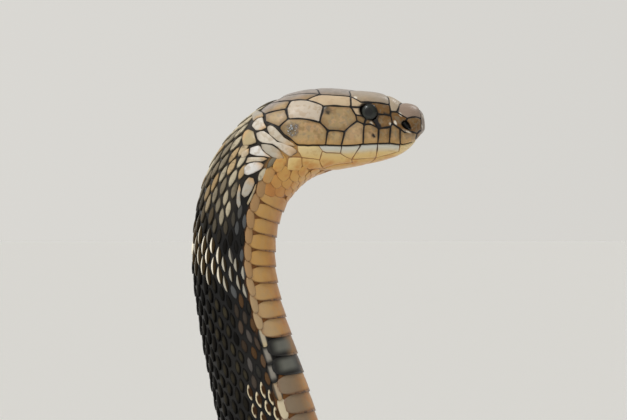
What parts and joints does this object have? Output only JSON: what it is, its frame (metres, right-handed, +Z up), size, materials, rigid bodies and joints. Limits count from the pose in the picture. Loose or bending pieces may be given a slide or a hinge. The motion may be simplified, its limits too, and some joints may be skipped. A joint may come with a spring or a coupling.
{
  "type": "king cobra museum model",
  "caption": "Life-size king cobra with its front raised and its head level, lying in a loose loop with the tail trailing out behind.",
  "frame": {"origin": "on the floor, under the middle of the body where its raised front comes down and it begins to lie", "axes": "+X the way the head faces, +Z up, +Y to the animal's left"},
  "size_m": [0.994, 0.7792, 0.6456],
  "materials": {
    "head_shields": "satin olive-brown horn shields with dark seams",
    "lip_scales": "satin cream and tan lip scales",
    "eye_spectacle": "dark glossy eye under a clear spectacle",
    "neck_scales": "satin black-brown scales, orange-tan ventral scutes, cream crossbands",
    "body_scales": "satin dark brown scales with pale crossbands",
    "tail_scales": "satin black scales"
  },
  "bodies": {
    "root": {"head": "head_shields", "lower_jaw": "lip_scales", "eye_left": "eye_spectacle", "eye_right": "eye_spectacle", "neck_upper": "neck_scales", "neck_lower": "neck_scales", "body_rise": "body_scales", "body_1": "body_scales", "body_2": "body_scales", "body_3": "body_scales", "body_4": "body_scales", "body_5": "body_scales", "body_6": "body_scales", "tail": "tail_scales"}
  },
  "joints": []
}
